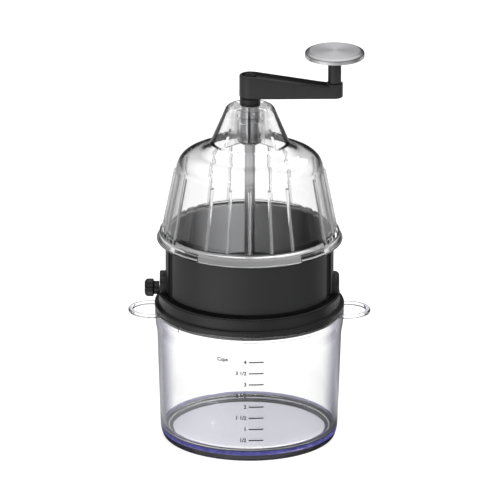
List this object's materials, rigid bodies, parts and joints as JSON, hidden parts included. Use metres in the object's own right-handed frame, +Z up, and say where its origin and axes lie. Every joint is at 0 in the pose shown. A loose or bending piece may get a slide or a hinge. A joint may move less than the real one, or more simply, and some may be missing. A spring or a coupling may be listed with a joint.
{
  "type": "hand-cranked vegetable spiral cutter",
  "caption": "Hand-cranked vegetable spiral cutter: clear domed lid with a plunging crank shaft, black cutter housing with a side selector, and a clear measuring bowl with loop ears.",
  "frame": {"origin": "centre of the bowl's foot, on the surface it stands on", "axes": "+Z up along the crank shaft, -Y towards the front panel, -X towards the selector knob, the crank arm along +X at rest"},
  "size_m": [0.183, 0.1432, 0.3037],
  "materials": {
    "clear_bowl": "clear, polished",
    "clear_lid": "clear, polished",
    "black_satin": "satin moulded",
    "black_gloss": "semi-gloss moulded",
    "black_arm": "satin moulded",
    "grey_acetal": "smooth moulded",
    "polished_steel": "polished",
    "brushed_steel": "brushed in circles"
  },
  "bodies": {
    "bowl": {"bowl": "clear_bowl"},
    "cutter": {"bowl_collar": "black_gloss", "cutter_housing": "black_satin", "blade_plate": "black_satin", "main_blade": "polished_steel", "blade_screw_outer": "polished_steel", "blade_screw_inner": "polished_steel", "coring_tube": "polished_steel", "drum_bearing_left": "grey_acetal", "drum_bearing_right": "grey_acetal", "detent_spring": "polished_steel"},
    "selector": {"selector_shaft": "polished_steel", "comb_drum": "grey_acetal", "comb_fine": "polished_steel", "comb_medium": "polished_steel", "comb_wide": "polished_steel", "detent_wheel": "grey_acetal", "selector_knob": "black_gloss", "selector_cap": "black_gloss"},
    "lid": {"dome_lid": "clear_lid"},
    "drive": {"shaft_bush": "polished_steel", "bush_clip": "grey_acetal"},
    "crank": {"crank_shaft": "polished_steel", "hub_collar": "black_gloss", "crank_arm": "black_arm", "hub_cap": "black_gloss", "food_holder": "black_satin", "holder_spikes": "polished_steel", "shaft_clip": "black_satin", "knob_axle": "polished_steel"},
    "knob": {"knob_stem": "black_arm", "knob_cap": "brushed_steel"}
  },
  "joints": [
    {"name": "cutter_lift", "type": "slide", "parent": "bowl", "child": "cutter", "axis": [0, 0, 1], "range_m": [0, 0.1]},
    {"name": "selector_turn", "type": "hinge", "parent": "cutter", "child": "selector", "pos_m": [0, 0, 0.1156], "axis": [1, 0, 0], "range_deg": [0, 270]},
    {"name": "lid_lift", "type": "slide", "parent": "cutter", "child": "lid", "axis": [0, 0, 1], "range_m": [0, 0.12]},
    {"name": "crank_turn", "type": "hinge", "parent": "lid", "child": "drive", "pos_m": [0, 0, 0.245], "axis": [0, 0, 1], "continuous": true},
    {"name": "crank_plunge", "type": "slide", "parent": "drive", "child": "crank", "axis": [0, 0, 1], "range_m": [0, 0.09]},
    {"name": "knob_spin", "type": "hinge", "parent": "crank", "child": "knob", "pos_m": [0.0633, 0, 0.29], "axis": [0, 0, 1], "continuous": true}
  ]
}
